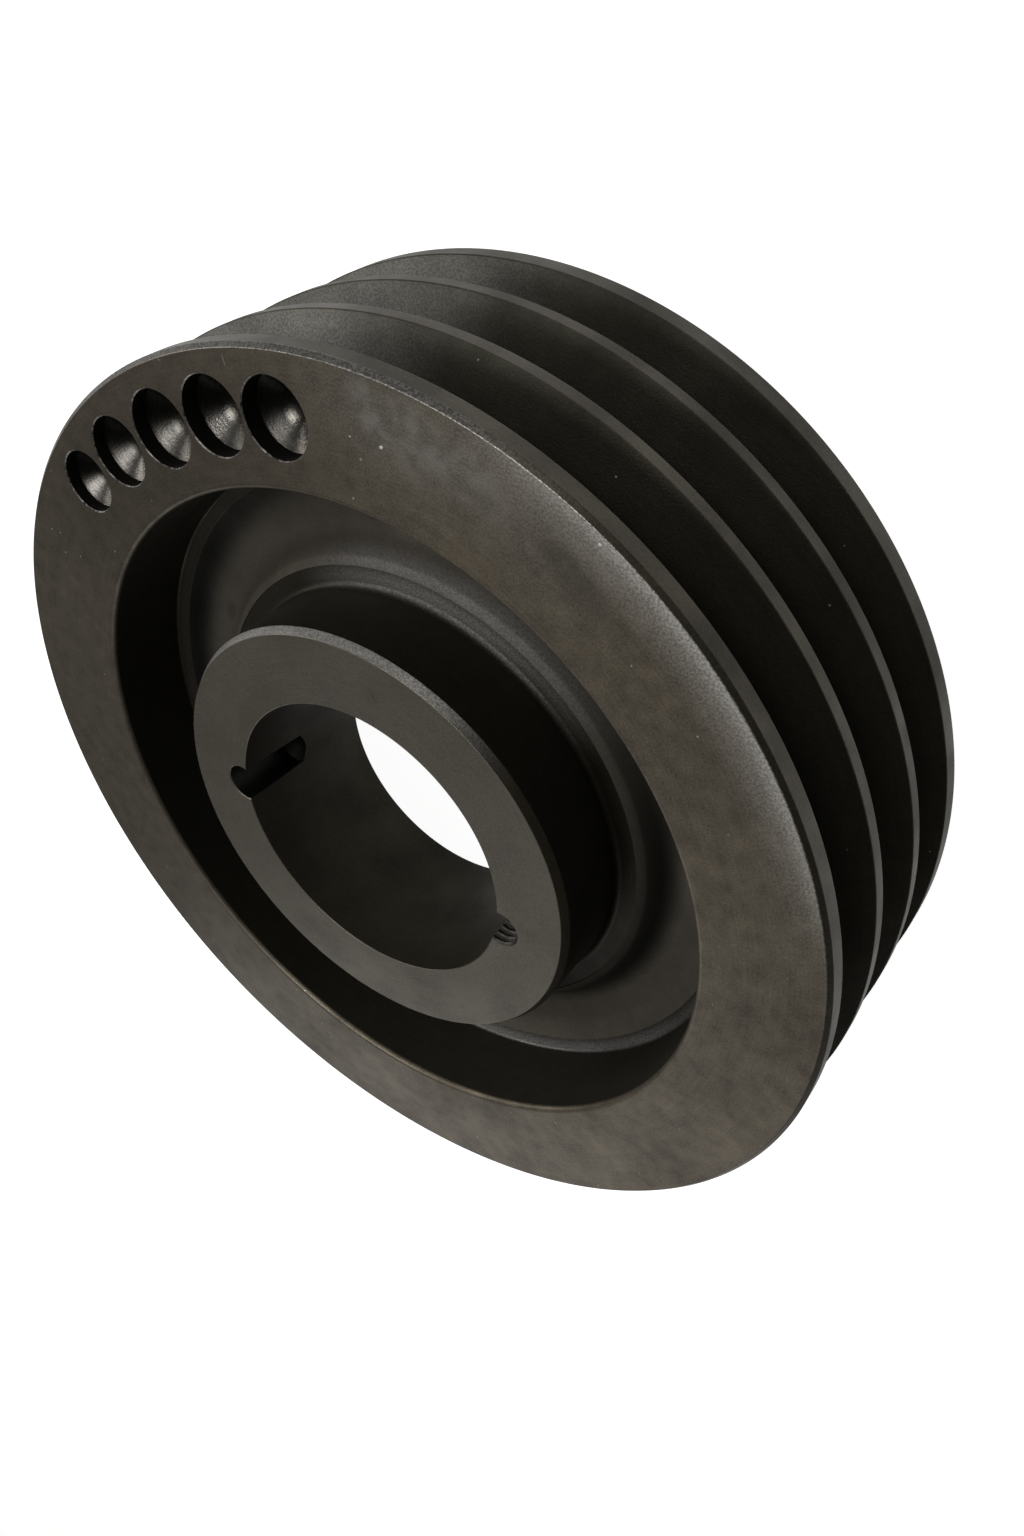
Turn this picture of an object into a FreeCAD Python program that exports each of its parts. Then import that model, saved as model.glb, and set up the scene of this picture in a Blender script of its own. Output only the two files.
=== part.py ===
import FreeCAD, Part
import math
import os

# Taper bore pulley with three belt grooves, cast and turned as one piece of grey iron.
# Units are millimetres. The axis of the pulley is Z, the rear rim face lies on Z = 0
# and the recessed front faces up. X points away from the plain half hole.

# Rim
rim_diameter = 212.1
rim_width = 63.5
rim_edge_chamfer = 0.9

# Belt grooves
groove_count = 3
groove_pitch = 19.05
groove_edge_distance = 12.7
groove_top_width = 15.8
groove_angle = 38.0
groove_depth = 14.3

# Front recess, with depths measured back from the front rim face
recess_radius = 79.4
recess_lip_bevel = 1.1
recess_wall_draft = 2.3
rim_shoulder_depth = 19.5
rim_shoulder_width = 2.8
rim_shoulder_slope = 20.0
rim_shoulder_foot_width = 4.0
web_depth = 23.0

# Hub
hub_radius = 51.8
hub_proud_height = 3.0
hub_length = 35.3
hub_edge_chamfer_width = 1.1
hub_edge_chamfer_height = 1.8
hub_base_bevel = 1.2
hub_floor_depth = 16.7
hub_floor_width = 5.0
hub_boss_slope_width = 5.6

# Taper bore
bore_large_diameter = 69.85
bore_taper_per_side = 4.0

# Half holes in the mouth of the bore
half_hole_diameter = 9.0
half_hole_pitch_radius = 35.8
half_hole_depth = 17.0
half_hole_angles = (180.0, 351.7)

# Rear recess, whose flat floor is the back of the web and of the hub
rear_recess_radius = 80.6

# Balance holes in the front rim face: angle, pitch radius, diameter and depth of the straight wall
balance_holes = (
    (138.2, 95.3, 13.2, 2.9),
    (128.7, 94.2, 14.4, 3.0),
    (118.6, 93.4, 15.4, 3.6),
    (108.6, 93.3, 15.4, 4.0),
    (98.7, 93.1, 15.4, 4.0),
)
drill_point_angle = 118.0

# Values that follow from the sizes above
rim_radius = rim_diameter / 2.0
bore_large_radius = bore_large_diameter / 2.0
front_level = rim_width
hub_front_level = front_level + hub_proud_height
hub_back_level = hub_front_level - hub_length
web_front_level = front_level - web_depth
hub_floor_level = front_level - hub_floor_depth
rim_shoulder_level = front_level - rim_shoulder_depth
cutter_overrun = 5.0


def slope(angle):
    """Return the rise over run of an angle in degrees."""
    return math.tan(math.radians(angle))


def groove_corners():
    """Return the corners of the belt grooves, from the front land to the rear land."""
    corners = []
    half_top = groove_top_width / 2.0
    half_floor = half_top - groove_depth * slope(groove_angle / 2.0)
    floor_radius = rim_radius - groove_depth
    for index in range(groove_count):
        centre = front_level - groove_edge_distance - index * groove_pitch
        corners.append((rim_radius, centre + half_top))
        corners.append((floor_radius, centre + half_floor))
        corners.append((floor_radius, centre - half_floor))
        corners.append((rim_radius, centre - half_top))
    return corners


def rim_corners():
    """Return the corners of the front rim face, the grooved outside and the rear rim face."""
    corners = [(recess_radius + recess_lip_bevel, front_level)]
    corners.append((rim_radius - rim_edge_chamfer, front_level))
    corners.append((rim_radius, front_level - rim_edge_chamfer))
    corners.extend(groove_corners())
    corners.append((rim_radius, 0.0))
    corners.append((rear_recess_radius, 0.0))
    return corners


def hub_corners():
    """Return the corners of the rear recess floor, the taper bore and the hub's front face."""
    bore_small_radius = bore_large_radius - hub_length * slope(bore_taper_per_side)
    return [
        (rear_recess_radius, hub_back_level),
        (bore_small_radius, hub_back_level),
        (bore_large_radius, hub_front_level),
        (hub_radius - hub_edge_chamfer_width, hub_front_level),
        (hub_radius, hub_front_level - hub_edge_chamfer_height),
    ]


def recess_corners():
    """Return the corners of the front recess, from the hub's wall to the lip at the rim face."""
    floor_radius = hub_radius + hub_floor_width
    shoulder_outer = recess_radius - rim_shoulder_depth * slope(recess_wall_draft)
    shoulder_inner = shoulder_outer - rim_shoulder_width
    return [
        (hub_radius, hub_floor_level + hub_base_bevel),
        (hub_radius + hub_base_bevel, hub_floor_level),
        (floor_radius, hub_floor_level),
        (floor_radius + hub_boss_slope_width, web_front_level),
        (shoulder_inner - rim_shoulder_foot_width, web_front_level),
        (shoulder_inner, rim_shoulder_level - rim_shoulder_width * slope(rim_shoulder_slope)),
        (shoulder_outer, rim_shoulder_level),
        (recess_radius - recess_lip_bevel * slope(recess_wall_draft), front_level - recess_lip_bevel),
    ]


def turned_solid(corners):
    """Return the solid that the closed outline through the corners makes when turned about the axis."""
    outline = [FreeCAD.Vector(radius, 0.0, level) for radius, level in corners]
    section = Part.Face(Part.makePolygon(outline + outline[:1]))
    return section.revolve(FreeCAD.Vector(0, 0, 0), FreeCAD.Vector(0, 0, 1), 360.0)


def drill(diameter, wall_depth, surface_level, pitch_radius, angle):
    """Return the cut of a pointed drill that enters downwards from a level surface."""
    radius = diameter / 2.0
    shoulder = surface_level - wall_depth
    tip = shoulder - radius / slope(drill_point_angle / 2.0)
    top = surface_level + cutter_overrun
    cutter = turned_solid([(0.0, tip), (radius, shoulder), (radius, top), (0.0, top)])
    cutter.translate(FreeCAD.Vector(pitch_radius, 0.0, 0.0))
    cutter.rotate(FreeCAD.Vector(0, 0, 0), FreeCAD.Vector(0, 0, 1), angle)
    return cutter


def drilled_cuts():
    """Return all drill cuts: the balance holes and the half holes of the bore."""
    cuts = []
    for angle, pitch_radius, diameter, wall_depth in balance_holes:
        cuts.append(drill(diameter, wall_depth, front_level, pitch_radius, angle))
    for angle in half_hole_angles:
        cuts.append(drill(half_hole_diameter, half_hole_depth, hub_front_level, half_hole_pitch_radius, angle))
    return cuts


os.makedirs("parts", exist_ok=True)
turned_blank = turned_solid(rim_corners() + hub_corners() + recess_corners())
pulley = turned_blank.cut(Part.makeCompound(drilled_cuts()))
pulley_body = pulley.Solids[0]
pulley_body.exportStep("parts/pulley_body.step")
print("pulley_body", pulley_body.isValid(), len(pulley.Solids), "solid,", round(pulley_body.Volume / 1000.0, 1), "cm3")
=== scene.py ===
"""Looks, light and camera for a cast iron V-belt pulley with a taper bore.

The CAD solid gives the pulley's size and place. Here the same section is turned again as a finer
mesh with the casting's true rounds, drilled, tapped and dressed zone by zone.
"""

import logging
import math
from dataclasses import dataclass
from enum import IntEnum, auto

import bmesh
import bpy
from mathutils import Euler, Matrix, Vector


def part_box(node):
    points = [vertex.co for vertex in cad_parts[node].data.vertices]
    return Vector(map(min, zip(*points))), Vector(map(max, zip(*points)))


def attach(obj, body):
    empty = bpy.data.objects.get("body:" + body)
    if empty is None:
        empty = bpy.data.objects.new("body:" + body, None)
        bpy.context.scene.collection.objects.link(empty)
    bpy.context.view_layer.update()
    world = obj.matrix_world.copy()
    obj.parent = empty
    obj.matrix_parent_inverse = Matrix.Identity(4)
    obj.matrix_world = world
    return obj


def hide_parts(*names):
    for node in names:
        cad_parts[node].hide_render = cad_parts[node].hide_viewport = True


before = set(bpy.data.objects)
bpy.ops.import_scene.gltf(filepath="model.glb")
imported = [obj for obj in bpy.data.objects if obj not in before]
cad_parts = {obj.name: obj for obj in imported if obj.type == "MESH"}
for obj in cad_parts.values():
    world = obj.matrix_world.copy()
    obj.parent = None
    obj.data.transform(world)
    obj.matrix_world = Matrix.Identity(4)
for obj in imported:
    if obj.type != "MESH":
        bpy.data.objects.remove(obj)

LOG = logging.getLogger("pulley")
MM = 0.001

# Rounding of section corners: the share of the shorter side that a round may take, and the
# turn in degrees that one strip of it covers.
ROUND_REACH = 0.48
ROUND_STEP = 16.0

# Where the noises of a finish start and end to show. They lie about 0.5.
MOTTLE_RANGE = (0.3, 0.7)
TONE_SPREAD = 0.16
GRIT_RANGE = (0.40, 0.62)
SMUDGE_RANGE = (0.42, 0.60)

# The solid core of a mark and of a speck, and the speck's edge, as shares of their size.
MARK_CORE = 0.35
SPECK_CORE = 0.05
SPECK_EDGE = 0.11


class Zone(IntEnum):
    """The finishes of the pulley's surface, in the order of its material slots."""

    RIM_FACE = 0
    LAND = auto()
    FLANK = auto()
    RIM_CORNER = auto()
    RIM_EDGE = auto()
    RECESS_WALL = auto()
    LEDGE = auto()
    WEB = auto()
    HUB_FACE = auto()
    HUB_EDGE = auto()
    HUB_WALL = auto()
    BORE = auto()
    DRILL_EDGE = auto()
    DRILL_WALL = auto()
    THREAD = auto()
    THREAD_CREST = auto()
    FIRST_DRILL_POINT = auto()


@dataclass(frozen=True)
class Corner:
    """A corner of a turned section.

    The zone is the finish of the stretch that starts here, and the round takes its own.
    """

    radius: float
    level: float
    round: float
    zone: Zone
    round_zone: Zone


def linear_colour(hex_colour: str) -> tuple[float, float, float, float]:
    """Turn an sRGB hex colour into linear red, green, blue and alpha.

    Args:
        hex_colour: The colour as it is seen, such as "#4D4941".

    Returns:
        The linear colour with an alpha of 1.
    """
    channels = []
    for start in (1, 3, 5):
        value = int(hex_colour[start:start + 2], 16) / 255.0
        channels.append(value / 12.92 if value <= 0.04045 else ((value + 0.055) / 1.055) ** 2.4)
    return channels[0], channels[1], channels[2], 1.0


def add_node(
    tree: bpy.types.NodeTree,
    kind: str,
    settings: dict[str | int, object],
    links: dict[str | int, bpy.types.NodeSocket],
) -> bpy.types.Node:
    """Add a node with its settings and links.

    Args:
        tree: The node tree that gets the node.
        kind: The node's Blender type.
        settings: Values by property name, or by input name or number.
        links: Output sockets by the input's name or number.

    Returns:
        The new node.
    """
    node = tree.nodes.new(kind)
    for key, value in settings.items():
        if isinstance(key, str) and hasattr(node, key):
            setattr(node, key, value)
        else:
            node.inputs[key].default_value = value
    for key, source in links.items():
        tree.links.new(source, node.inputs[key])
    return node


@dataclass(frozen=True)
class ToneBand:
    """A soft stretch of another tone along an arc about the pulley's axis.

    Angles are in degrees and lengths in millimetres. Grit is how far the iron's grain breaks it up.
    """

    angle: float
    half_arc: float
    radius: float
    half_width: float
    colour: str
    share: float
    grit: float = 0.0


@dataclass(frozen=True)
class Mark:
    """A chip, scratch, smudge, painted shadow or highlight: a small soft ellipse on the pulley.

    Angles are in degrees and lengths in millimetres. Broken is how far clouds break it up.
    """

    place: tuple[float, float, float]
    half_length: float
    half_width: float
    turn: float
    colour: str
    share: float = 1.0
    half_height: float = 2.0
    broken: float = 0.0


@dataclass(frozen=True)
class IronFinish:
    """Grey cast iron, turned, drilled or left as cast, then blackened and oiled.

    The blackening leaves a dark brown grey skin with a satin sheen. Tool marks run round the axis,
    the open grain of the iron shows as fine grit, and worn places are lighter. Bands and marks also
    lay painted highlights and painted shade on some places.

    The real grain is about 0.1 mm across and the real feed marks lie 0.2 to 0.3 mm apart. Both are
    too fine to show in the picture, so they are drawn at 0.45 mm and 0.5 mm. The mottle and the
    clouds are the real patches of oil and oxide, 14 mm and 4 mm across.
    """

    name: str
    dark: str
    light: str
    roughness: float = 0.48
    roughness_swing: float = 0.08
    metallic: float = 0.75
    specular: float = 0.5
    mottle_mm: float = 14.0
    mottle_share: float = 0.35
    cloud_mm: float = 4.0
    cloud_share: float = 0.20
    grain_mm: float = 0.45
    grain_share: float = 0.45
    grain_depth_mm: float = 0.035
    marks_pitch_mm: float = 0.5
    marks_share: float = 0.15
    marks_depth_mm: float = 0.004
    streak_turns: float = 5.0
    speck_colour: str = "#A8A5A1"
    speck_mm: float = 2.6
    speck_share: float = 0.0
    axis_mm: tuple[float, float] = (0.0, 0.0)
    bands: tuple[ToneBand, ...] = ()
    spots: tuple[Mark, ...] = ()

    def material(self) -> bpy.types.Material:
        """Build the finish as a material.

        Returns:
            The material, with its colour, gloss and fine relief.
        """
        material = bpy.data.materials.new(self.name)
        material.use_nodes = True
        tree = material.node_tree
        tree.nodes.clear()
        place = add_node(tree, "ShaderNodeTexCoord", {}, {}).outputs["Object"]
        mottle = self._noise(tree, place, self.mottle_mm, 3.0)
        cloud = self._noise(tree, place, self.cloud_mm, 2.0)
        grain = self._noise(tree, place, self.grain_mm, 2.0)
        marks = self._marks(tree, place)
        shares = (self.mottle_share, self.cloud_share, self.grain_share, self.marks_share)
        tone = self._tone(tree, tuple(zip((mottle, cloud, grain, marks), shares)))
        colour = add_node(
            tree, "ShaderNodeMix",
            {"data_type": "RGBA", 6: linear_colour(self.dark), 7: linear_colour(self.light)},
            {0: tone}).outputs[2]
        colour = self._wear_and_painted_light(tree, place, cloud, grain, colour)
        low, high = self.roughness - self.roughness_swing, self.roughness + self.roughness_swing
        rough = add_node(
            tree, "ShaderNodeMapRange",
            {"From Min": MOTTLE_RANGE[0], "From Max": MOTTLE_RANGE[1], "To Min": high, "To Max": low},
            {"Value": mottle}).outputs[0]
        marked = add_node(
            tree, "ShaderNodeBump", {"Strength": 1.0, "Distance": self.marks_depth_mm * MM},
            {"Height": marks}).outputs[0]
        grained = add_node(
            tree, "ShaderNodeBump", {"Strength": 1.0, "Distance": self.grain_depth_mm * MM},
            {"Height": grain, "Normal": marked}).outputs[0]
        shader = add_node(
            tree, "ShaderNodeBsdfPrincipled",
            {"Metallic": self.metallic, "Specular IOR Level": self.specular},
            {"Base Color": colour, "Roughness": rough, "Normal": grained})
        add_node(tree, "ShaderNodeOutputMaterial", {}, {"Surface": shader.outputs[0]})
        return material

    def _noise(
        self, tree: bpy.types.NodeTree, place: bpy.types.NodeSocket, size_mm: float, detail: float,
    ) -> bpy.types.NodeSocket:
        """Return a noise whose features are about as wide as the size given.

        Args:
            tree: The material's node tree.
            place: The socket with the place on the object.
            size_mm: The width of the features.
            detail: How many finer layers the noise gets.

        Returns:
            The socket with the noise, which lies about 0.5.
        """
        return add_node(
            tree, "ShaderNodeTexNoise", {"Scale": 1.0 / (size_mm * MM), "Detail": detail},
            {"Vector": place}).outputs["Fac"]

    def _about(
        self, tree: bpy.types.NodeTree, place: bpy.types.NodeSocket, axis_mm: tuple[float, float],
    ) -> tuple[bpy.types.NodeSocket, bpy.types.NodeSocket]:
        """Return the distance from an upright axis, and the direction from it.

        Args:
            tree: The material's node tree.
            place: The socket with the place on the object.
            axis_mm: Where the axis stands.

        Returns:
            The sockets of the distance in metres and of the level direction of length one.
        """
        axis = (axis_mm[0] * MM, axis_mm[1] * MM, 0.0)
        centred = add_node(
            tree, "ShaderNodeVectorMath", {"operation": "SUBTRACT", 1: axis}, {0: place}).outputs[0]
        across = add_node(
            tree, "ShaderNodeVectorMath", {"operation": "MULTIPLY", 1: (1.0, 1.0, 0.0)},
            {0: centred}).outputs[0]
        radius = add_node(
            tree, "ShaderNodeVectorMath", {"operation": "LENGTH"}, {0: across}).outputs["Value"]
        turn = add_node(
            tree, "ShaderNodeVectorMath", {"operation": "NORMALIZE"}, {0: across}).outputs[0]
        return radius, turn

    def _marks(
        self, tree: bpy.types.NodeTree, place: bpy.types.NodeSocket,
    ) -> bpy.types.NodeSocket:
        """Return tool marks as rings about the finish's axis, broken into streaks.

        Args:
            tree: The material's node tree.
            place: The socket with the place on the object.

        Returns:
            The socket with the height of the marks.
        """
        radius, turn = self._about(tree, place, self.axis_mm)
        slow = add_node(
            tree, "ShaderNodeVectorMath",
            {"operation": "MULTIPLY", 1: (self.streak_turns, self.streak_turns, 0.0)},
            {0: turn}).outputs[0]
        height = add_node(tree, "ShaderNodeSeparateXYZ", {}, {0: place}).outputs["Z"]
        path = add_node(
            tree, "ShaderNodeMath", {"operation": "ADD"}, {0: radius, 1: height}).outputs[0]
        fast = add_node(
            tree, "ShaderNodeMath", {"operation": "DIVIDE", 1: self.marks_pitch_mm * MM},
            {0: path}).outputs[0]
        lifted = add_node(tree, "ShaderNodeCombineXYZ", {}, {"Z": fast}).outputs[0]
        streaks = add_node(
            tree, "ShaderNodeVectorMath", {"operation": "ADD"}, {0: slow, 1: lifted}).outputs[0]
        return add_node(
            tree, "ShaderNodeTexNoise", {"Scale": 1.0, "Detail": 1.0},
            {"Vector": streaks}).outputs["Fac"]

    def _tone(
        self, tree: bpy.types.NodeTree, parts: tuple[tuple[bpy.types.NodeSocket, float], ...],
    ) -> bpy.types.NodeSocket:
        """Return the weighted sum of noises, spread over 0 to 1.

        Args:
            tree: The material's node tree.
            parts: The socket and the share of each noise.

        Returns:
            The socket with the tone, where 0 is the dark colour and 1 the light one.
        """
        total = None
        for source, share in parts:
            centred = add_node(
                tree, "ShaderNodeMath", {"operation": "MULTIPLY_ADD", 1: share, 2: -share / 2.0},
                {0: source}).outputs[0]
            if total is None:
                total = centred
                continue
            total = add_node(
                tree, "ShaderNodeMath", {"operation": "ADD"}, {0: centred, 1: total}).outputs[0]
        return add_node(
            tree, "ShaderNodeMapRange", {"From Min": -TONE_SPREAD, "From Max": TONE_SPREAD},
            {"Value": total}).outputs[0]

    def _wear_and_painted_light(
        self,
        tree: bpy.types.NodeTree,
        place: bpy.types.NodeSocket,
        cloud: bpy.types.NodeSocket,
        grain: bpy.types.NodeSocket,
        colour: bpy.types.NodeSocket,
    ) -> bpy.types.NodeSocket:
        """Lay all wear, dirt, painted highlights and painted shade over the colour: the bands, then
        the marks, then the specks.

        Args:
            tree: The material's node tree.
            place: The socket with the place on the object.
            cloud: The socket with the noise that breaks smudges up.
            grain: The socket with the grain that breaks bands up.
            colour: The socket with the plain colour.

        Returns:
            The socket with the worn colour.
        """
        if self.bands:
            radius, turn = self._about(tree, place, (0.0, 0.0))
            for band in self.bands:
                colour = self._banded(tree, band, radius, turn, grain, colour)
        for spot in self.spots:
            colour = self._spotted(tree, spot, place, cloud, colour)
        if self.speck_share > 0.0:
            colour = self._specks(tree, place, colour)
        return colour

    def _banded(
        self,
        tree: bpy.types.NodeTree,
        band: ToneBand,
        radius: bpy.types.NodeSocket,
        turn: bpy.types.NodeSocket,
        grain: bpy.types.NodeSocket,
        colour: bpy.types.NodeSocket,
    ) -> bpy.types.NodeSocket:
        """Lay a soft band of another tone over the colour.

        Args:
            tree: The material's node tree.
            band: The band.
            radius: The socket with the distance from the pulley's axis.
            turn: The socket with the direction from the pulley's axis.
            grain: The socket with the grain that breaks the band up.
            colour: The socket with the colour so far.

        Returns:
            The socket with the new colour.
        """
        middle = math.radians(band.angle)
        near = add_node(
            tree, "ShaderNodeVectorMath",
            {"operation": "DOT_PRODUCT", 1: (math.cos(middle), math.sin(middle), 0.0)},
            {0: turn}).outputs["Value"]
        arc_end = math.cos(math.radians(band.half_arc))
        along = add_node(
            tree, "ShaderNodeMapRange",
            {"interpolation_type": "SMOOTHSTEP", "From Min": arc_end, "From Max": 1.0},
            {"Value": near}).outputs[0]
        offset = add_node(
            tree, "ShaderNodeMath", {"operation": "SUBTRACT", 1: band.radius * MM},
            {0: radius}).outputs[0]
        distance = add_node(
            tree, "ShaderNodeMath", {"operation": "ABSOLUTE"}, {0: offset}).outputs[0]
        across = add_node(
            tree, "ShaderNodeMapRange",
            {"interpolation_type": "SMOOTHSTEP", "From Min": band.half_width * MM, "From Max": 0.0},
            {"Value": distance}).outputs[0]
        whole = add_node(
            tree, "ShaderNodeMath", {"operation": "MULTIPLY"}, {0: along, 1: across}).outputs[0]
        left = add_node(
            tree, "ShaderNodeMapRange",
            {
                "From Min": GRIT_RANGE[0],
                "From Max": GRIT_RANGE[1],
                "To Min": band.share * (1.0 - band.grit),
                "To Max": band.share,
            },
            {"Value": grain}).outputs[0]
        share = add_node(
            tree, "ShaderNodeMath", {"operation": "MULTIPLY"}, {0: whole, 1: left}).outputs[0]
        return add_node(
            tree, "ShaderNodeMix", {"data_type": "RGBA", 7: linear_colour(band.colour)},
            {0: share, 6: colour}).outputs[2]

    def _spotted(
        self,
        tree: bpy.types.NodeTree,
        spot: Mark,
        place: bpy.types.NodeSocket,
        cloud: bpy.types.NodeSocket,
        colour: bpy.types.NodeSocket,
    ) -> bpy.types.NodeSocket:
        """Lay a chip, scratch, smudge, painted shadow or painted highlight over the colour.

        Args:
            tree: The material's node tree.
            spot: The mark.
            place: The socket with the place on the object.
            cloud: The socket with the noise that breaks a smudge up.
            colour: The socket with the colour so far.

        Returns:
            The socket with the new colour.
        """
        local = add_node(
            tree, "ShaderNodeMapping",
            {
                "vector_type": "TEXTURE",
                "Location": tuple(value * MM for value in spot.place),
                "Rotation": (0.0, 0.0, math.radians(spot.turn)),
                "Scale": (spot.half_length * MM, spot.half_width * MM, spot.half_height * MM),
            },
            {"Vector": place}).outputs[0]
        distance = add_node(
            tree, "ShaderNodeVectorMath", {"operation": "LENGTH"}, {0: local}).outputs["Value"]
        share = add_node(
            tree, "ShaderNodeMapRange",
            {
                "interpolation_type": "SMOOTHSTEP",
                "From Min": MARK_CORE,
                "From Max": 1.0,
                "To Min": spot.share,
                "To Max": 0.0,
            },
            {"Value": distance}).outputs[0]
        if spot.broken > 0.0:
            left = add_node(
                tree, "ShaderNodeMapRange",
                {
                    "From Min": SMUDGE_RANGE[0],
                    "From Max": SMUDGE_RANGE[1],
                    "To Min": 1.0 - spot.broken,
                },
                {"Value": cloud}).outputs[0]
            share = add_node(
                tree, "ShaderNodeMath", {"operation": "MULTIPLY"}, {0: share, 1: left}).outputs[0]
        return add_node(
            tree, "ShaderNodeMix", {"data_type": "RGBA", 7: linear_colour(spot.colour)},
            {0: share, 6: colour}).outputs[2]

    def _specks(
        self,
        tree: bpy.types.NodeTree,
        place: bpy.types.NodeSocket,
        colour: bpy.types.NodeSocket,
    ) -> bpy.types.NodeSocket:
        """Lay sparse bright specks over the colour, where chips have bared the iron.

        Args:
            tree: The material's node tree.
            place: The socket with the place on the object.
            colour: The socket with the colour so far.

        Returns:
            The socket with the new colour.
        """
        cells = add_node(
            tree, "ShaderNodeTexVoronoi", {"feature": "F1", "Scale": 1.0 / (self.speck_mm * MM)},
            {"Vector": place})
        lot = add_node(
            tree, "ShaderNodeSeparateColor", {}, {0: cells.outputs["Color"]}).outputs["Red"]
        chosen = add_node(
            tree, "ShaderNodeMath", {"operation": "LESS_THAN", 1: self.speck_share},
            {0: lot}).outputs[0]
        near = add_node(
            tree, "ShaderNodeMapRange",
            {"From Min": SPECK_CORE, "From Max": SPECK_EDGE, "To Min": 1.0, "To Max": 0.0},
            {"Value": cells.outputs["Distance"]}).outputs[0]
        share = add_node(
            tree, "ShaderNodeMath", {"operation": "MULTIPLY"}, {0: chosen, 1: near}).outputs[0]
        return add_node(
            tree, "ShaderNodeMix", {"data_type": "RGBA", 7: linear_colour(self.speck_colour)},
            {0: share, 6: colour}).outputs[2]


@dataclass(frozen=True)
class Drilling:
    """A drilling from a level face, in degrees and millimetres."""

    angle: float
    pitch_radius: float
    diameter: float
    wall_depth: float

    def centre(self) -> tuple[float, float]:
        """Return the drilling's centre, seen along the pulley's axis."""
        turn = math.radians(self.angle)
        return self.pitch_radius * math.cos(turn), self.pitch_radius * math.sin(turn)


def rounded(before: Corner, corner: Corner, after: Corner) -> list[tuple[float, float, Zone]]:
    """Round one corner of a section along its arc.

    Args:
        before: The corner before.
        corner: The corner to round.
        after: The corner after.

    Returns:
        Points as radius, level and the zone of the strip that starts there.
    """
    if corner.round <= 0.0:
        return [(corner.radius, corner.level, corner.zone)]
    here = Vector((corner.radius, corner.level))
    to_before = Vector((before.radius, before.level)) - here
    to_after = Vector((after.radius, after.level)) - here
    reach = ROUND_REACH * min(to_before.length, to_after.length)
    to_before.normalize()
    to_after.normalize()
    half_angle = to_before.angle(to_after) / 2.0
    radius = min(corner.round, reach * math.tan(half_angle))
    half_turn = math.pi / 2.0 - half_angle
    bisector = (to_before + to_after).normalized()
    along = (to_after - to_before).normalized()
    centre = here + bisector * (radius / math.sin(half_angle))
    strips = max(3, round(half_turn * 2.0 / math.radians(ROUND_STEP)))
    points = []
    for step in range(strips + 1):
        turn = half_turn * (2.0 * step / strips - 1.0)
        spot = centre + along * (radius * math.sin(turn)) - bisector * (radius * math.cos(turn))
        points.append((spot.x, spot.y, corner.round_zone if step < strips else corner.zone))
    return points


def turned_mesh(
    name: str, points: list[tuple[float, float, int]], segments: int,
) -> bpy.types.Mesh:
    """Turn a closed section about the axis.

    Args:
        name: The mesh's name.
        points: The section's points as radius, level and zone, in millimetres.
        segments: The number of steps round the axis.

    Returns:
        The closed mesh in metres, with a material number per face.
    """
    mesh = bmesh.new()
    rings = []
    for radius, level, _ in points:
        if radius <= 0.0:
            rings.append([mesh.verts.new((0.0, 0.0, level * MM))])
            continue
        ring = []
        for index in range(segments):
            turn = 2.0 * math.pi * index / segments
            across = (radius * math.cos(turn) * MM, radius * math.sin(turn) * MM)
            ring.append(mesh.verts.new((*across, level * MM)))
        rings.append(ring)
    for index, (_, _, zone) in enumerate(points):
        ring, following = rings[index], rings[(index + 1) % len(rings)]
        if len(ring) == 1 and len(following) == 1:
            continue
        for step in range(segments):
            corners = [ring[step % len(ring)], ring[(step + 1) % len(ring)]]
            corners += [following[(step + 1) % len(following)], following[step % len(following)]]
            face = mesh.faces.new(list(dict.fromkeys(corners)))
            face.material_index = zone
            face.smooth = True
    bmesh.ops.recalc_face_normals(mesh, faces=mesh.faces)
    made = bpy.data.meshes.new(name)
    mesh.to_mesh(made)
    mesh.free()
    return made


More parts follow.
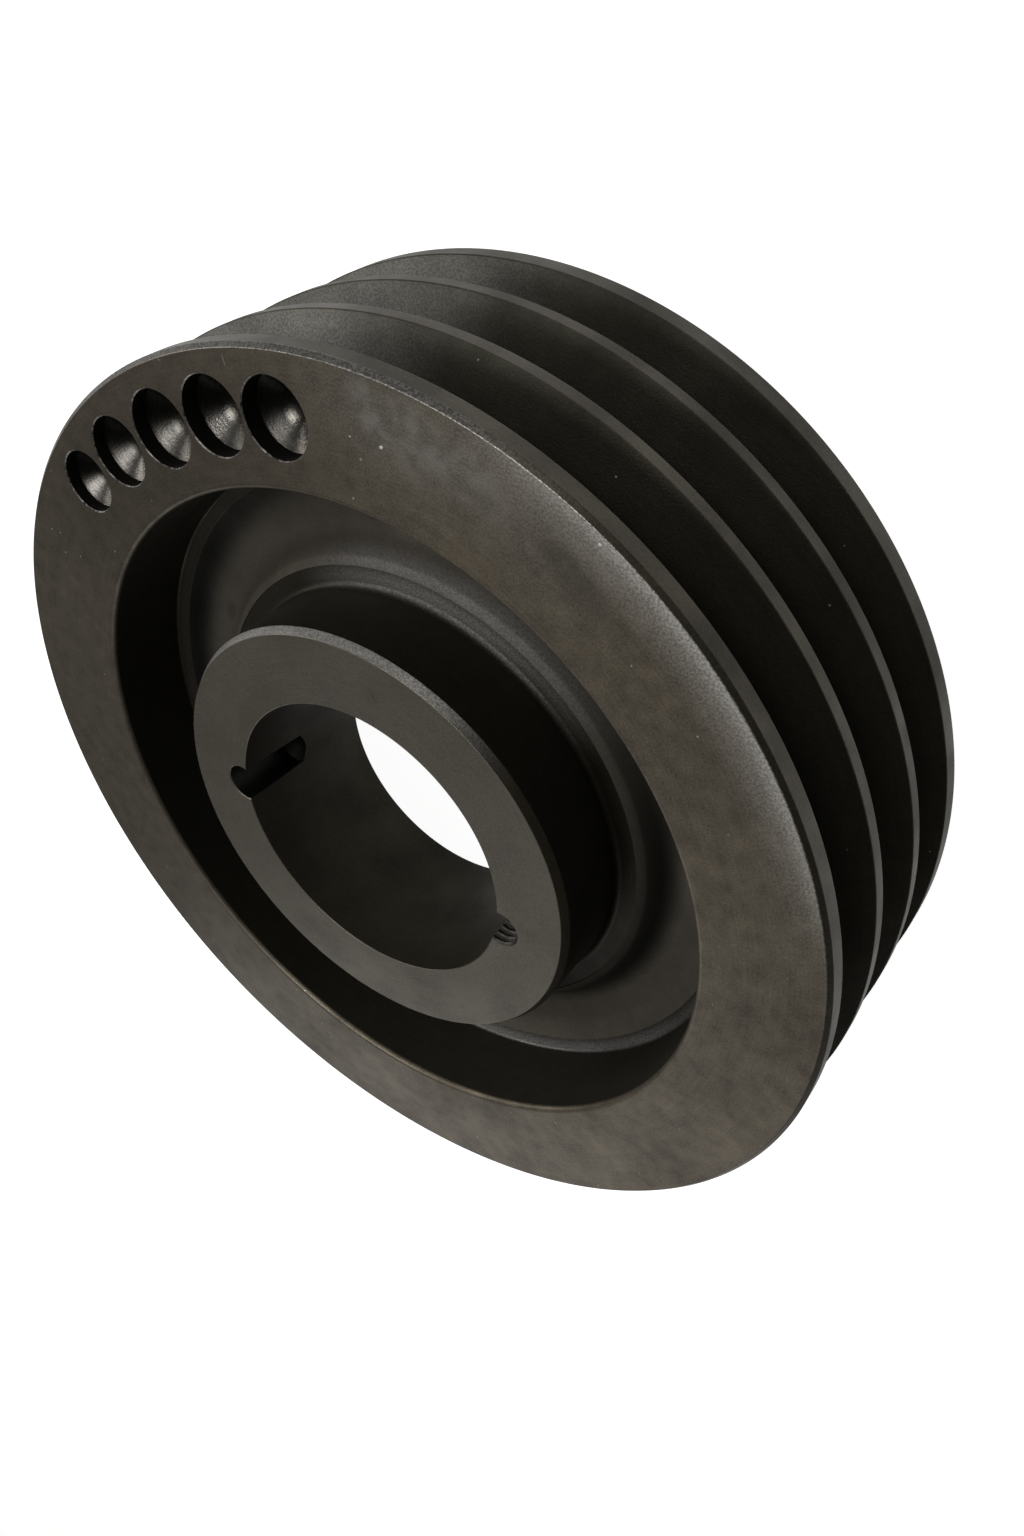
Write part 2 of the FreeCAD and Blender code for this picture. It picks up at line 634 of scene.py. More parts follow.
@dataclass
class PulleyBody:
    """The pulley casting: grooved rim, recessed web, hub and taper bore.

    Sizes are in millimetres and angles in degrees.
    """

    # Rim
    rim_edge_chamfer: float = 0.9
    rim_corner_round: float = 0.3
    rim_chamfer_round: float = 0.35
    # Belt grooves
    groove_count: int = 3
    groove_pitch: float = 19.05
    groove_edge_distance: float = 12.7
    groove_top_width: float = 15.8
    groove_angle: float = 38.0
    groove_depth: float = 14.3
    groove_floor_round: float = 1.2
    land_edge_round: float = 0.35
    # Front recess
    recess_radius: float = 79.4
    recess_lip_round: float = 1.3
    recess_wall_draft: float = 2.3
    recess_corner_round: float = 0.8
    rim_shoulder_depth: float = 19.5
    rim_shoulder_width: float = 2.8
    rim_shoulder_slope: float = 20.0
    rim_shoulder_foot_width: float = 4.0
    rim_shoulder_round: float = 1.8
    web_depth: float = 23.0
    web_corner_round: float = 6.0
    # Hub, and the turned floor and the boss round it
    hub_radius: float = 51.8
    hub_proud_height: float = 3.0
    hub_length: float = 35.3
    hub_edge_chamfer_width: float = 1.1
    hub_edge_chamfer_height: float = 1.8
    hub_edge_round: float = 0.2
    hub_base_round: float = 1.5
    hub_floor_depth: float = 16.7
    hub_floor_width: float = 5.0
    hub_floor_step: float = 0.2
    hub_boss_lip_width: float = 1.8
    hub_boss_lip_drop: float = 0.9
    hub_boss_slope_width: float = 5.6
    hub_boss_round: float = 2.0
    # Taper bore
    bore_large_diameter: float = 69.85
    bore_taper_per_side: float = 4.0
    bore_edge_round: float = 0.25
    # Rear recess
    rear_recess_radius: float = 80.6
    rear_edge_round: float = 0.5
    rear_lip_round: float = 1.5
    rear_corner_round: float = 4.0
    rear_hub_radius: float = 58.0
    rear_hub_step: float = 0.5
    rear_hub_round: float = 0.2
    # Steps round the axis
    segments: int = 384
    # Balance drillings
    drillings: tuple[Drilling, ...] = (
        Drilling(138.2, 95.3, 13.2, 2.9),
        Drilling(128.7, 94.2, 14.4, 3.0),
        Drilling(118.6, 93.4, 15.4, 3.6),
        Drilling(108.6, 93.3, 15.4, 4.0),
        Drilling(98.7, 93.1, 15.4, 4.0),
    )
    drill_point_angle: float = 118.0
    drill_nose_share: float = 1.1
    drill_nose_strips: int = 8
    drill_edge_bevel: float = 0.22
    drill_overrun: float = 1.0
    drill_segments: int = 96
    # Half holes, one of them tapped
    half_hole_diameter: float = 9.0
    half_hole_pitch_radius: float = 35.8
    half_hole_depth: float = 17.0
    plain_half_hole_angle: float = 180.0
    tapped_half_hole_angle: float = 351.7
    thread_pitch: float = 1.81
    thread_depth: float = 0.75
    thread_root_radius: float = 4.85
    thread_steepness: float = 2.6
    thread_crest_share: float = 0.6
    thread_segments: int = 64
    thread_rows_per_turn: int = 12
    # Shading
    crisp_edge_angle: float = 32.0
    flat_face_weight: int = 100

    def __post_init__(self) -> None:
        """Take the outside sizes from the CAD solid."""
        low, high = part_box("pulley_body")
        self.rim_radius = high.x / MM
        self.hub_front = high.z / MM
        self.front = self.hub_front - self.hub_proud_height
        self.bore_radius = self.bore_large_diameter / 2.0

    def build(self, finishes: list[bpy.types.Material]) -> bpy.types.Object:
        """Turn, drill, tap and dress the pulley.

        Args:
            finishes: The materials in the order of the zones.

        Returns:
            The finished object.
        """
        body = bpy.data.objects.new("pulley_casting", self._turned_blank())
        bpy.context.collection.objects.link(body)
        cutters = self._cutters()
        for piece in (body, *cutters):
            for finish in finishes:
                piece.data.materials.append(finish)
        for cutter in cutters:
            cut = body.modifiers.new(cutter.name, "BOOLEAN")
            cut.object = cutter
            cut.operation = "DIFFERENCE"
            cut.solver = "EXACT"
        drilled = body.evaluated_get(bpy.context.evaluated_depsgraph_get())
        cut_mesh = bpy.data.meshes.new_from_object(drilled)
        body.modifiers.clear()
        body.data = cut_mesh
        cut_mesh.name = "pulley_casting"
        for cutter in cutters:
            bpy.data.objects.remove(cutter)
        self._shade(body)
        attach(body, "root")
        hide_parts("pulley_body")
        return body

    def _turned_blank(self) -> bpy.types.Mesh:
        """Turn the whole section.

        Returns:
            The mesh of the pulley before it is drilled.
        """
        corners = self._rim() + self._rear() + self._hub() + self._recess()
        points: list[tuple[float, float, int]] = []
        for index, corner in enumerate(corners):
            points += rounded(corners[index - 1], corner, corners[(index + 1) % len(corners)])
        return turned_mesh("pulley_casting", points, self.segments)

    def _rim(self) -> list[Corner]:
        """Lay out the section from the recess lip over the front face and the grooves.

        Returns:
            The corners in order.
        """
        edge = self.rim_radius - self.rim_edge_chamfer
        chamfer_foot = self.front - self.rim_edge_chamfer
        corners = [
            Corner(self.recess_radius, self.front, self.recess_lip_round,
                   Zone.RIM_FACE, Zone.RIM_FACE),
            Corner(edge, self.front, self.rim_corner_round, Zone.RIM_EDGE, Zone.RIM_CORNER),
            Corner(self.rim_radius, chamfer_foot, self.rim_chamfer_round, Zone.LAND, Zone.RIM_EDGE),
        ]
        half_top = self.groove_top_width / 2.0
        half_angle = math.radians(self.groove_angle / 2.0)
        half_floor = half_top - self.groove_depth * math.tan(half_angle)
        floor = self.rim_radius - self.groove_depth
        edge_round, foot_round = self.land_edge_round, self.groove_floor_round
        for index in range(self.groove_count):
            centre = self.front - self.groove_edge_distance - index * self.groove_pitch
            corners += [
                Corner(self.rim_radius, centre + half_top, edge_round, Zone.FLANK, Zone.LAND),
                Corner(floor, centre + half_floor, foot_round, Zone.FLANK, Zone.FLANK),
                Corner(floor, centre - half_floor, foot_round, Zone.FLANK, Zone.FLANK),
                Corner(self.rim_radius, centre - half_top, edge_round, Zone.LAND, Zone.LAND),
            ]
        return corners

    def _rear(self) -> list[Corner]:
        """Lay out the rear rim face and the rear recess.

        Returns:
            The corners in order.
        """
        hub_back = self.hub_front - self.hub_length
        web_back = hub_back + self.rear_hub_step
        wall, hub_edge = self.rear_recess_radius, self.rear_hub_round
        return [
            Corner(self.rim_radius, 0.0, self.rear_edge_round, Zone.RIM_FACE, Zone.LAND),
            Corner(wall, 0.0, self.rear_lip_round, Zone.WEB, Zone.RIM_FACE),
            Corner(wall, web_back, self.rear_corner_round, Zone.WEB, Zone.WEB),
            Corner(self.rear_hub_radius, web_back, hub_edge, Zone.WEB, Zone.WEB),
            Corner(self.rear_hub_radius, hub_back, hub_edge, Zone.HUB_FACE, Zone.HUB_FACE),
        ]

    def _hub(self) -> list[Corner]:
        """Lay out the taper bore, the hub's front face and its wall.

        Returns:
            The corners in order.
        """
        taper = math.tan(math.radians(self.bore_taper_per_side))
        bore_small = self.bore_radius - self.hub_length * taper
        bore_end = self.hub_front - self.hub_length
        face_edge = self.hub_radius - self.hub_edge_chamfer_width
        chamfer_foot = self.hub_front - self.hub_edge_chamfer_height
        floor = self.front - self.hub_floor_depth
        return [
            Corner(bore_small, bore_end, self.bore_edge_round, Zone.BORE, Zone.BORE),
            Corner(self.bore_radius, self.hub_front, self.bore_edge_round,
                   Zone.HUB_FACE, Zone.HUB_FACE),
            Corner(face_edge, self.hub_front, self.hub_edge_round, Zone.HUB_EDGE, Zone.HUB_FACE),
            Corner(self.hub_radius, chamfer_foot, self.hub_edge_round,
                   Zone.HUB_WALL, Zone.HUB_EDGE),
            Corner(self.hub_radius, floor, self.hub_base_round, Zone.LEDGE, Zone.LEDGE),
        ]

    def _recess(self) -> list[Corner]:
        """Lay out the recess floor, from the hub's turned floor to the ledge at the rim.

        Returns:
            The corners in order.
        """
        floor = self.front - self.hub_floor_depth
        web = self.front - self.web_depth
        floor_end = self.hub_radius + self.hub_floor_width
        boss_lip = floor_end + self.hub_boss_lip_width
        boss_foot = floor_end + self.hub_boss_slope_width
        draft = math.tan(math.radians(self.recess_wall_draft))
        outer = self.recess_radius - self.rim_shoulder_depth * draft
        inner = outer - self.rim_shoulder_width
        foot = inner - self.rim_shoulder_foot_width
        level = self.front - self.rim_shoulder_depth
        low = level - self.rim_shoulder_width * math.tan(math.radians(self.rim_shoulder_slope))
        return [
            Corner(floor_end, floor, 0.0, Zone.LEDGE, Zone.LEDGE),
            Corner(floor_end, floor + self.hub_floor_step, 0.0, Zone.WEB, Zone.WEB),
            Corner(boss_lip, floor - self.hub_boss_lip_drop, self.hub_boss_round,
                   Zone.WEB, Zone.WEB),
            Corner(boss_foot, web, self.web_corner_round, Zone.WEB, Zone.WEB),
            Corner(foot, web, self.web_corner_round, Zone.WEB, Zone.WEB),
            Corner(inner, low, self.rim_shoulder_round, Zone.LEDGE, Zone.LEDGE),
            Corner(outer, level, self.recess_corner_round, Zone.RECESS_WALL, Zone.LEDGE),
        ]

    def _cutters(self) -> list[bpy.types.Object]:
        """Make the cutters of all drillings and of the two half holes.

        Returns:
            The cutters, each where it cuts.
        """
        made = []
        for number, drilling in enumerate(self.drillings):
            point_zone = Zone.FIRST_DRILL_POINT + number
            mesh = self._drill_mesh(drilling, point_zone, Zone.DRILL_WALL, Zone.DRILL_EDGE)
            name = f"balance_drill_{number + 1}"
            made.append(self._placed(name, mesh, drilling.centre(), self.front))
        plain = self._half_hole(self.plain_half_hole_angle)
        mesh = self._drill_mesh(plain, Zone.DRILL_WALL, Zone.DRILL_WALL, Zone.HUB_FACE)
        made.append(self._placed("half_hole_drill", mesh, plain.centre(), self.hub_front))
        tapped = self._half_hole(self.tapped_half_hole_angle)
        mesh = self._tap_mesh()
        made.append(self._placed("half_hole_tap", mesh, tapped.centre(), self.hub_front))
        return made

    def _half_hole(self, angle: float) -> Drilling:
        """Return the drilling of a half hole at an angle about the axis."""
        return Drilling(
            angle, self.half_hole_pitch_radius, self.half_hole_diameter, self.half_hole_depth)

    def _placed(
        self, name: str, mesh: bpy.types.Mesh, centre: tuple[float, float], level: float,
    ) -> bpy.types.Object:
        """Stand a cutter on a level surface.

        Args:
            name: The cutter's name.
            mesh: The cutter's mesh, with the surface at zero.
            centre: The cutter's centre in millimetres.
            level: The surface's level in millimetres.

        Returns:
            The cutter, which isn't rendered.
        """
        cutter = bpy.data.objects.new(name, mesh)
        cutter.location = (centre[0] * MM, centre[1] * MM, level * MM)
        bpy.context.collection.objects.link(cutter)
        cutter.hide_render = True
        return cutter

    def _drill_mesh(
        self, drilling: Drilling, point_zone: int, wall_zone: Zone, edge_zone: Zone,
    ) -> bpy.types.Mesh:
        """Make a pointed drill with a rounded tip and a slight bevel where it enters.

        Args:
            drilling: The drilling, whose surface level is at zero.
            point_zone: The finish of the drill's point.
            wall_zone: The finish of the drilling's wall.
            edge_zone: The finish of the edge where the drill enters.

        Returns:
            The drill's closed mesh.
        """
        radius = drilling.diameter / 2.0
        half_angle = math.radians(self.drill_point_angle / 2.0)
        tip = -drilling.wall_depth - radius / math.tan(half_angle)
        nose = radius * self.drill_nose_share
        nose_centre = tip + nose / math.sin(half_angle)
        nose_arc = math.pi / 2.0 - half_angle
        points = []
        for step in range(self.drill_nose_strips + 1):
            turn = nose_arc * step / self.drill_nose_strips
            points.append((nose * math.sin(turn), nose_centre - nose * math.cos(turn), point_zone))
        mouth = radius + self.drill_edge_bevel + self.drill_overrun
        points += [
            (radius, -drilling.wall_depth, wall_zone),
            (radius, -self.drill_edge_bevel, edge_zone),
            (mouth, self.drill_overrun, edge_zone),
            (0.0, self.drill_overrun, edge_zone),
        ]
        return turned_mesh("drill", points, self.drill_segments)

    def _tap_mesh(self) -> bpy.types.Mesh:
        """Make a tap: a cylinder whose radius dips along a helix, so that it leaves thread crests.

        Returns:
            The tap's closed mesh.
        """
        root, steps = self.thread_root_radius, self.thread_segments
        length = self.half_hole_depth + self.drill_overrun
        rows = int(self.half_hole_depth / self.thread_pitch * self.thread_rows_per_turn)
        mesh = bmesh.new()
        rings = []
        for row in range(rows + 1):
            level = self.drill_overrun - length * row / rows
            ring = []
            for step in range(steps):
                turn = step / steps
                phase = (level / self.thread_pitch + turn) % 1.0
                crest = max(0.0, 1.0 - abs(phase - 0.5) * self.thread_steepness)
                radius = root - self.thread_depth * crest
                angle = 2.0 * math.pi * turn
                across = (radius * math.cos(angle) * MM, radius * math.sin(angle) * MM)
                ring.append(mesh.verts.new((*across, level * MM)))
            rings.append(ring)
        crest_radius = (root - self.thread_depth * self.thread_crest_share) * MM
        for upper, lower in zip(rings[:-1], rings[1:]):
            for step in range(steps):
                after = (step + 1) % steps
                face = mesh.faces.new((upper[step], upper[after], lower[after], lower[step]))
                on_crest = face.calc_center_median().xy.length < crest_radius
                face.material_index = Zone.THREAD_CREST if on_crest else Zone.THREAD
        for end in (rings[0], rings[-1]):
            mesh.faces.new(end).material_index = Zone.THREAD
        for face in mesh.faces:
            face.smooth = True
        bmesh.ops.recalc_face_normals(mesh, faces=mesh.faces)
        made = bpy.data.meshes.new("tap")
        mesh.to_mesh(made)
        mesh.free()
        return made

    def _shade(self, body: bpy.types.Object) -> None:
        """Shade the rounds smooth, and keep the flats flat and the drilled edges crisp.

        Args:
            body: The finished pulley.
        """
        body.data.set_sharp_from_angle(angle=math.radians(self.crisp_edge_angle))
        flats = body.modifiers.new("flat_faces", "WEIGHTED_NORMAL")
        flats.keep_sharp = True
        flats.weight = self.flat_face_weight


@dataclass(frozen=True)
class PointMark:
    """A mark that every drill point has. Lengths are shares of the drill's diameter.

    The side is the direction from the drill's axis and the turn is the mark's own, in degrees.
    """

    side: float
    offset: float
    half_length: float
    half_width: float
    turn: float
    colour: str
    share: float
    drop_mm: float = 1.5
    half_height_mm: float = 9.0

    def on(self, drilling: Drilling, surface: float) -> Mark:
        """Place the mark on one drilling's point.

        Args:
            drilling: The drilling.
            surface: The level in millimetres of the face that is drilled.

        Returns:
            The mark, in millimetres.
        """
        x, y = drilling.centre()
        side, offset = math.radians(self.side), drilling.diameter * self.offset
        level = surface - drilling.wall_depth - self.drop_mm
        return Mark(
            (x + offset * math.cos(side), y + offset * math.sin(side), level),
            drilling.diameter * self.half_length, drilling.diameter * self.half_width, self.turn,
            self.colour, self.share, self.half_height_mm)


@dataclass
class IronShop:
    """The finishes of the pulley, in the order of its zones."""

    body: PulleyBody
    # A painted shadow on one side of each drill point, and a painted highlight on the other.
    painted_shadow_side: PointMark = PointMark(150.0, 0.34, 0.50, 0.62, 150.0, "#0D0E0A", 0.86)
    painted_highlight_side: PointMark = PointMark(244.0, 0.38, 0.36, 0.26, 130.0, "#B4B1AC", 0.14)

    def finishes(self) -> list[bpy.types.Material]:
        """Build all finishes.

        Returns:
            One material per zone, and one per drill point, which has its own centre of marks.
        """
        by_zone = {**self._rim(), **self._recess(), **self._hub(), **self._drilled()}
        made = [by_zone[zone].material() for zone in list(Zone)[:-1]]
        for number, drilling in enumerate(self.body.drillings):
            made.append(self._drill_point(number, drilling).material())
        return made

    def _drill_point(self, number: int, drilling: Drilling) -> IronFinish:
        """Choose the finish of a drill's point.

        Args:
            number: The drilling's number, from zero.
            drilling: The drilling.

        Returns:
            The finish, with its rings about the drilling's own axis.
        """
        # Bare iron, cut by the drill's lips: the brightest and glossiest face of the pulley, with
        # coarse rings that pull the light into streaks across the cone, a painted shadow on its far
        # side and a painted highlight on the other.
        marks = (self.painted_shadow_side.on(drilling, self.body.front),
                 self.painted_highlight_side.on(drilling, self.body.front))
        return IronFinish(
            f"drilled_iron_point_{number + 1}", "#24211D", "#56524B", roughness=0.31, metallic=0.9,
            mottle_share=0.1, grain_share=0.25, marks_pitch_mm=0.30, marks_share=0.7,
            marks_depth_mm=0.010, streak_turns=2.0, axis_mm=drilling.centre(), spots=marks)

    def _rim(self) -> dict[Zone, IronFinish]:
        """Choose the finishes of the rim.

        Returns:
            The finishes by zone.
        """
        face = self.body.front
        return {
            # Turned, then blackened: satin dark brown grey, oily and darker by the drillings, with
            # a painted sheen along the outer edge, painted light that makes the side at 200 degrees
            # lighter, and smudges, chips and one scratch.
            Zone.RIM_FACE: IronFinish(
                "turned_iron_rim_face", "#4D473C", "#736A5B", roughness=0.46, roughness_swing=0.04,
                mottle_share=0.40, cloud_share=0.35, speck_share=0.12,
                bands=(
                    ToneBand(122.0, 42.0, 93.0, 40.0, "#322F2A", 0.5),
                    ToneBand(45.0, 34.0, 106.0, 11.0, "#C7C4BF", 0.50, 0.55),
                    ToneBand(44.0, 32.0, 106.0, 4.5, "#E8E6E2", 0.50, 0.55),
                    ToneBand(74.0, 24.0, 97.0, 16.0, "#82807E", 0.25, 0.5),
                    ToneBand(200.0, 70.0, 93.0, 40.0, "#605E5A", 0.25),
                ),
                spots=(
                    Mark((8.0, 98.5, face), 9.0, 4.5, 114.0, "#918F8C", 0.36, broken=0.7),
                    Mark((17.0, 96.5, face), 10.0, 7.0, 118.0, "#918F8C", 0.32, broken=0.7),
                    Mark((28.0, 93.0, face), 12.0, 6.0, 150.0, "#918F8C", 0.24, broken=0.7),
                    Mark((48.0, 82.0, face), 12.0, 5.0, 140.0, "#322F2A", 0.50, broken=0.6),
                    Mark((10.0, 93.4, face), 0.55, 0.4, 30.0, "#E8E6E2"),
                    Mark((3.3, 93.5, face), 0.35, 0.25, 0.0, "#C7C4BF"),
                    Mark((52.7, 89.3, face), 0.45, 0.3, 10.0, "#E8E6E2"),
                    Mark((-24.5, 100.0, face), 1.6, 0.14, 104.0, "#918F8C", 0.8),
                )),
            # Turned and never rubbed: dull and even, a shade darker than the face.
            Zone.LAND: IronFinish(
                "turned_iron_land", "#2B2720", "#423D30", roughness=0.58, metallic=0.6),
            # Turned with a form tool: dull, with a gritty painted sheen on top,
            # where the light grazes it.
            Zone.FLANK: IronFinish(
                "turned_iron_groove_flank", "#2D2B23", "#3F3D33", roughness=0.6,
                grain_depth_mm=0.06, grain_mm=0.4, speck_share=0.04,
                bands=(ToneBand(122.0, 40.0, 100.0, 14.0, "#A09D98", 0.5, 0.5),)),
            # A thin gritty painted highlight along the face's outer corner.
            Zone.RIM_CORNER: IronFinish(
                "iron_rim_corner_painted_highlight", "#3C372E", "#5B5448", roughness=0.42,
                bands=(ToneBand(60.0, 62.0, 105.0, 6.0, "#9E9C98", 0.9, 0.8),)),
            # Turned chamfer: dark, with a grey painted highlight on top.
            Zone.RIM_EDGE: IronFinish(
                "turned_iron_rim_chamfer", "#2B271F", "#433E33", roughness=0.5,
                bands=(ToneBand(100.0, 40.0, 105.5, 6.0, "#82807E", 0.6, 0.7),)),
        }

    def _recess(self) -> dict[Zone, IronFinish]:
        """Choose the finishes of the front and rear recess.

        Returns:
            The finishes by zone.
        """
        web = self.body.front - self.body.web_depth
        return {
            # Turned and oiled, coloured nearly black as painted shade under the rim.
            Zone.RECESS_WALL: IronFinish(
                "turned_iron_recess_wall", "#2C2B24", "#3B392F", roughness=0.55),
            # Turned rings at the wall's foot and round the hub: coloured dark as painted shade,
            # with grey painted highlights where they face the light.
            Zone.LEDGE: IronFinish(
                "turned_iron_recess_ledge", "#211E17", "#353127", roughness=0.5,
                bands=(
                    ToneBand(290.0, 75.0, 77.8, 3.0, "#82807E", 0.7, 0.5),
                    ToneBand(78.0, 46.0, 54.6, 4.0, "#8C8A86", 0.7, 0.5),
                    ToneBand(172.0, 60.0, 77.4, 3.0, "#5B5448", 0.45),
                )),
            # Sand cast skin under black oxide: matt and even, with no tool marks. A painted shadow
            # lies along the slope at the rim's foot, painted shade on the boss's slope at 352
            # degrees, and a painted highlight along the boss's lip.
            Zone.WEB: IronFinish(
                "sand_cast_iron_web", "#423E37", "#544F46", roughness=0.7, metallic=0.35,
                specular=0.25, marks_share=0.0, marks_depth_mm=0.0,
                bands=(
                    ToneBand(178.0, 85.0, 74.2, 7.5, "#050604", 0.97),
                    ToneBand(352.0, 62.0, 60.5, 5.5, "#0D0E0A", 0.9),
                    ToneBand(78.0, 44.0, 58.0, 3.6, "#82807E", 0.65, 0.5),
                ),
                spots=(Mark((-60.0, 24.3, web), 3.5, 2.5, 60.0, "#26241F", 0.35),)),
        }

    def _hub(self) -> dict[Zone, IronFinish]:
        """Choose the finishes of the hub and of the taper bore.

        Returns:
            The finishes by zone.
        """
        face = self.body.hub_front
        return {
            # Turned fine: the most even and lightest of the flat faces, with one dark scratch.
            Zone.HUB_FACE: IronFinish(
                "turned_iron_hub_face", "#58534C", "#726C60", roughness=0.46, cloud_share=0.1,
                spots=(Mark((6.0, 42.3, face), 2.4, 0.13, -56.0, "#1E1E18", 0.8),)),
            # Chamfer: dark below, with a gritty light grey painted highlight on top.
            Zone.HUB_EDGE: IronFinish(
                "iron_hub_chamfer_painted_highlight", "#353128", "#453F32", roughness=0.45,
                bands=(ToneBand(105.0, 66.0, 51.0, 6.0, "#C7C4BF", 0.75, 0.45),)),
            # Turned and oiled, coloured nearly black as painted shade.
            Zone.HUB_WALL: IronFinish(
                "turned_iron_hub_wall", "#302F28", "#403E34", roughness=0.55),
            # Bored, then oiled against rust: dark olive brown with soft patches and little sheen.
            Zone.BORE: IronFinish(
                "bored_iron_taper", "#242118", "#312D21", roughness=0.55, metallic=0.5,
                specular=0.3, mottle_share=0.6),
        }

    def _drilled(self) -> dict[Zone, IronFinish]:
        """Choose the finishes of the drilled walls, their rubbed edges and the thread.

        Returns:
            The finishes by zone.
        """
        return {
            # Bared by the drill where it breaks in: a thin broken light line. Its grit is drawn
            # coarser than the rest, so that the line breaks up.
            Zone.DRILL_EDGE: IronFinish(
                "drilled_iron_edge", "#2A261F", "#858380", roughness=0.42, grain_mm=0.7,
                grain_share=0.9),
            # Drilled: dark, and black in the plain half hole, where a band of painted shadow lies.
            Zone.DRILL_WALL: IronFinish(
                "drilled_iron_wall", "#1C1C16", "#2F2D27", roughness=0.55,
                bands=(ToneBand(180.0, 25.0, 34.0, 12.0, "#050604", 0.9),)),
            # Tapped: dark flanks, and crests coloured a little lighter as a painted highlight.
            Zone.THREAD: IronFinish(
                "tapped_iron_flank", "#26251D", "#403C35", roughness=0.55),
            Zone.THREAD_CREST: IronFinish(
                "tapped_iron_crest", "#302D28", "#4C4B4A", roughness=0.5),
        }


@dataclass(frozen=True)
class SoftBox:
    """A square soft light, hung round the pulley, in degrees and metres."""

    name: str
    azimuth: float
    elevation: float
    watts: float
    side: float = 0.45
    distance: float = 1.0


@dataclass(frozen=True)
class WhitePaper:
    """Matt white background paper, with an even coat.

    It is seen as plain white, also in the iron, while its grey body takes the pulley's shadow.
    """

    name: str = "matt_white_paper"
    colour: str = "#B4B2AE"
    glow: float = 0.96

    def material(self) -> bpy.types.Material:
        """Build the paper as a material.

        Returns:
            The material.
        """
        material = bpy.data.materials.new(self.name)
        material.use_nodes = True
        tree = material.node_tree
        tree.nodes.clear()
        glow = add_node(
            tree, "ShaderNodeMath", {"operation": "MULTIPLY", 1: self.glow},
            {0: self._white_rays(tree)}).outputs[0]
        white = add_node(tree, "ShaderNodeEmission", {}, {"Strength": glow}).outputs[0]
        matt = add_node(
            tree, "ShaderNodeBsdfDiffuse", {"Color": linear_colour(self.colour)}, {}).outputs[0]
        both = add_node(tree, "ShaderNodeAddShader", {}, {0: white, 1: matt}).outputs[0]
        add_node(tree, "ShaderNodeOutputMaterial", {}, {"Surface": both})
        return material

    def _white_rays(self, tree: bpy.types.NodeTree) -> bpy.types.NodeSocket:
        """Tell the rays that see the background from the light that falls on things.

        Args:
            tree: The material's node tree.

        Returns:
            The socket with 1 for camera, glossy and transmission rays, and 0 for all others.
        """
        rays = add_node(tree, "ShaderNodeLightPath", {}, {})
        seen = add_node(
            tree, "ShaderNodeMath", {"operation": "MAXIMUM"},
            {0: rays.outputs["Is Camera Ray"], 1: rays.outputs["Is Glossy Ray"]}).outputs[0]
        return add_node(
            tree, "ShaderNodeMath", {"operation": "MAXIMUM"},
            {0: seen, 1: rays.outputs["Is Transmission Ray"]}).outputs[0]


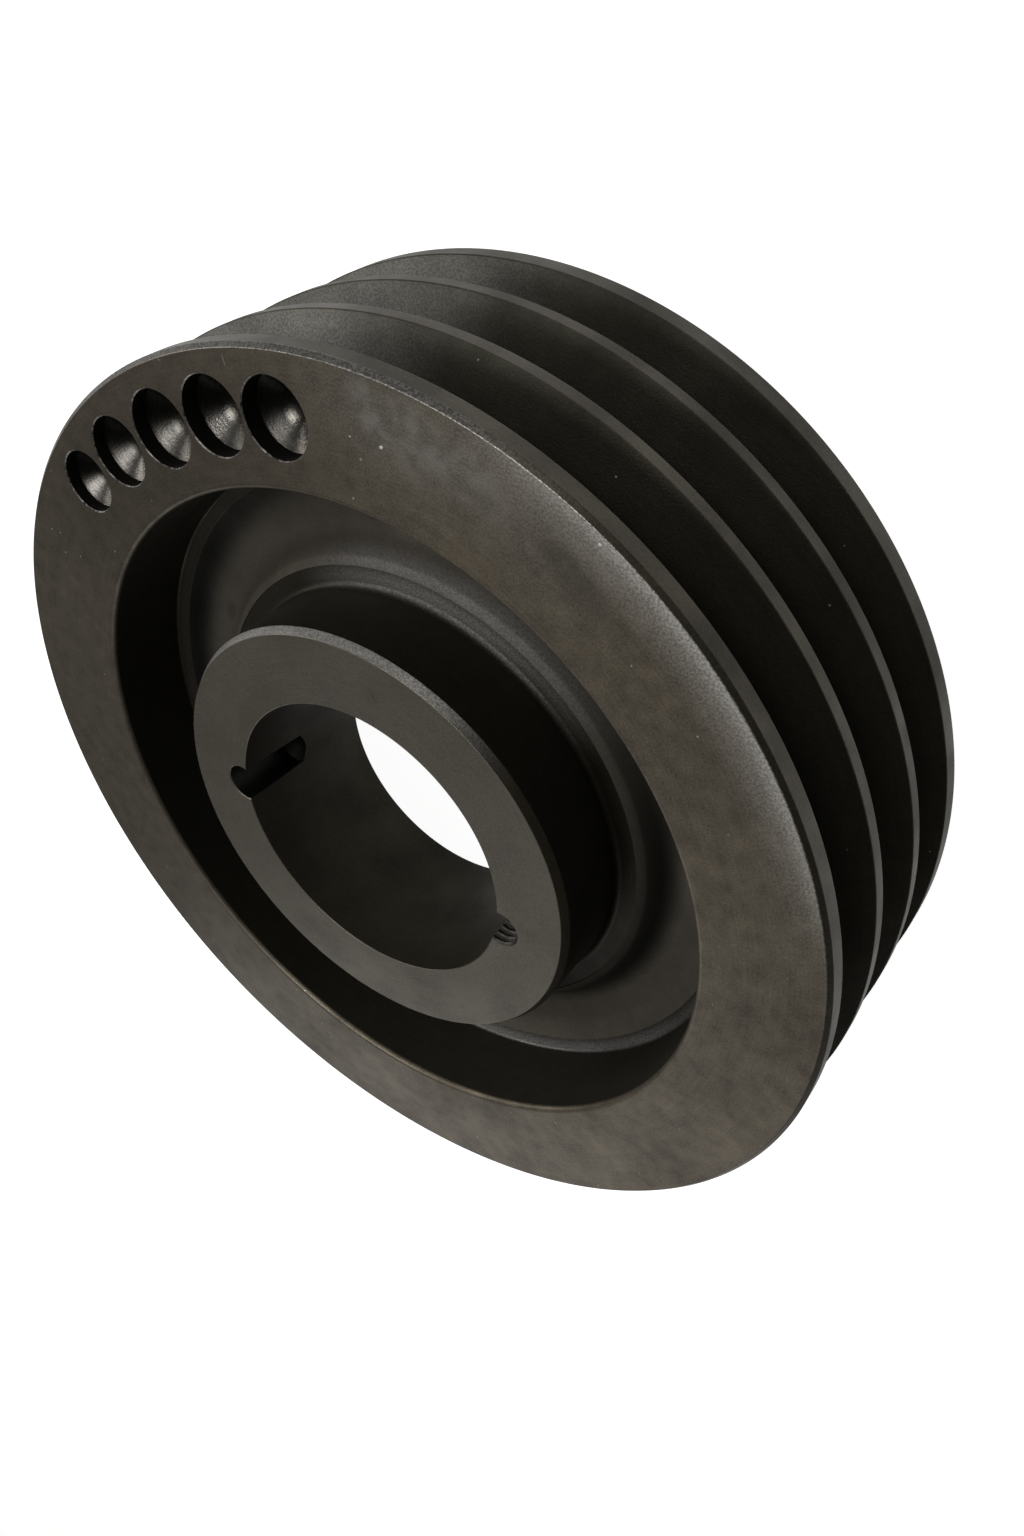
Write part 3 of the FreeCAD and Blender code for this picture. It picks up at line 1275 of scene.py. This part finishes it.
@dataclass
class Studio:
    """The pale floor, the soft light and the camera, in metres and degrees."""

    camera_place: tuple[float, float, float] = (0.13492, 0.18247, 0.20745)
    camera_turn: tuple[float, float, float] = (-40.291, 33.523, 1.3)
    camera_near_limit: float = 0.01
    lens_mm: float = 28.415
    sensor_mm: float = 36.0
    shift: tuple[float, float] = (-0.0181, 0.0160)
    floor_side: float = 30.0
    paper: WhitePaper = WhitePaper()
    world_colour: str = "#FFFFFF"
    world_strength: float = 0.08
    soft_boxes: tuple[SoftBox, ...] = (
        SoftBox("key_light", 145.0, 73.0, 3.8, 0.35),
        SoftBox("front_light", 90.0, 42.0, 1.7, 0.35),
        SoftBox("left_low_light", 163.0, 28.0, 2.8, 0.40),
        SoftBox("rear_low_light", 248.0, 13.0, 1.0, 0.50),
        SoftBox("rear_fill", 272.0, 30.0, 0.55),
    )

    def build(self) -> None:
        """Set up the camera, the floor, the world and the lights."""
        self._camera()
        self._floor()
        self._world()
        for box in self.soft_boxes:
            self._soft_box(box)
        bpy.context.scene.view_settings.view_transform = "Standard"

    def _camera(self) -> None:
        """Set the camera at the photograph's viewing angle."""
        data = bpy.data.cameras.new("camera")
        data.sensor_fit = "AUTO"
        data.sensor_width = self.sensor_mm
        data.lens = self.lens_mm
        data.shift_x, data.shift_y = self.shift
        data.clip_start = self.camera_near_limit
        camera = bpy.data.objects.new("camera", data)
        camera.location = self.camera_place
        camera.rotation_euler = Euler([math.radians(angle) for angle in self.camera_turn], "XYZ")
        bpy.context.collection.objects.link(camera)
        bpy.context.scene.camera = camera

    def _floor(self) -> None:
        """Lay the white floor, which keeps a faint soft shadow of the pulley."""
        half = self.floor_side / 2.0
        corners = [(-half, -half, 0.0), (half, -half, 0.0), (half, half, 0.0), (-half, half, 0.0)]
        mesh = bpy.data.meshes.new("floor")
        mesh.from_pydata(corners, [], [(0, 1, 2, 3)])
        floor = bpy.data.objects.new("floor", mesh)
        bpy.context.collection.objects.link(floor)
        mesh.materials.append(self.paper.material())

    def _world(self) -> None:
        """Fill the room with even soft light."""
        world = bpy.data.worlds.new("studio")
        bpy.context.scene.world = world
        world.use_nodes = True
        tree = world.node_tree
        tree.nodes.clear()
        sky = add_node(
            tree, "ShaderNodeBackground",
            {"Color": linear_colour(self.world_colour), "Strength": self.world_strength}, {})
        add_node(tree, "ShaderNodeOutputWorld", {}, {"Surface": sky.outputs[0]})

    def _soft_box(self, box: SoftBox) -> None:
        """Hang one soft light, aimed at the pulley.

        Args:
            box: The light.
        """
        low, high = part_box("pulley_body")
        target = (low + high) / 2.0
        azimuth, elevation = math.radians(box.azimuth), math.radians(box.elevation)
        level = math.cos(elevation)
        direction = Vector(
            (math.cos(azimuth) * level, math.sin(azimuth) * level, math.sin(elevation)))
        data = bpy.data.lights.new(box.name, "AREA")
        data.shape = "SQUARE"
        data.size = box.side
        data.energy = box.watts
        light = bpy.data.objects.new(box.name, data)
        light.location = target + direction * box.distance
        light.rotation_euler = direction.to_track_quat("Z", "Y").to_euler()
        bpy.context.collection.objects.link(light)


def main() -> None:
    """Build the pulley, then the studio around it."""
    logging.basicConfig(level=logging.INFO)
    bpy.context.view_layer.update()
    body = PulleyBody()
    made = body.build(IronShop(body).finishes())
    LOG.info("%s: %d faces", made.name, len(made.data.polygons))
    Studio().build()
    LOG.info("studio: floor, lights and camera")


if __name__ == "__main__":
    main()
